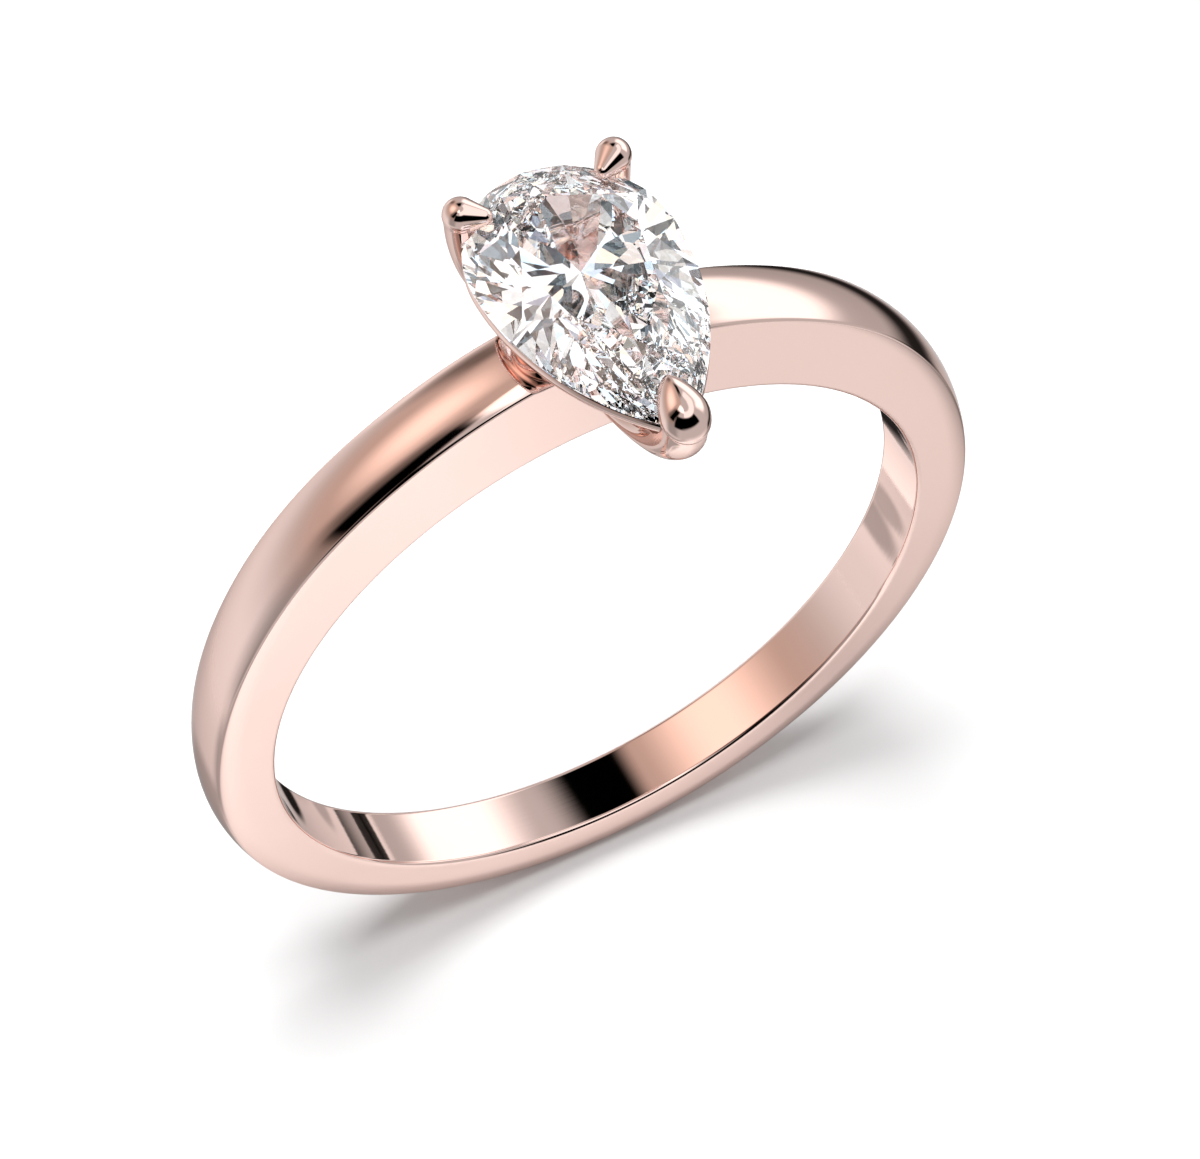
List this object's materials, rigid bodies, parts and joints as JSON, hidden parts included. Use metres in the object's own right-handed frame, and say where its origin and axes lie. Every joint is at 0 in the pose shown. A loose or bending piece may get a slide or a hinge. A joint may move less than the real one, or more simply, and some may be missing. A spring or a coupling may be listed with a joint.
{
  "type": "solitaire ring",
  "caption": "Solitaire finger ring with a pear-cut faceted stone held by two claws and a V-claw over a plain domed band.",
  "frame": {"origin": "centre of the finger bore, halfway across the band's width", "axes": "+Y along the finger bore, away from the stone's point; +Z from the bore's centre towards the head; +X across the ring to the right when the stone's point faces the viewer"},
  "size_m": [0.0196, 0.0076, 0.0229],
  "materials": {
    "band_gold": "mirror-polished 18 carat rose gold",
    "head_gold": "mirror-polished 18 carat rose gold",
    "diamond": "polished facets, colourless"
  },
  "bodies": {
    "root": {"shank": "band_gold", "base_collet": "head_gold", "gallery_rail": "head_gold", "claw_left": "head_gold", "claw_right": "head_gold", "v_claw": "head_gold", "diamond": "diamond"}
  },
  "joints": []
}
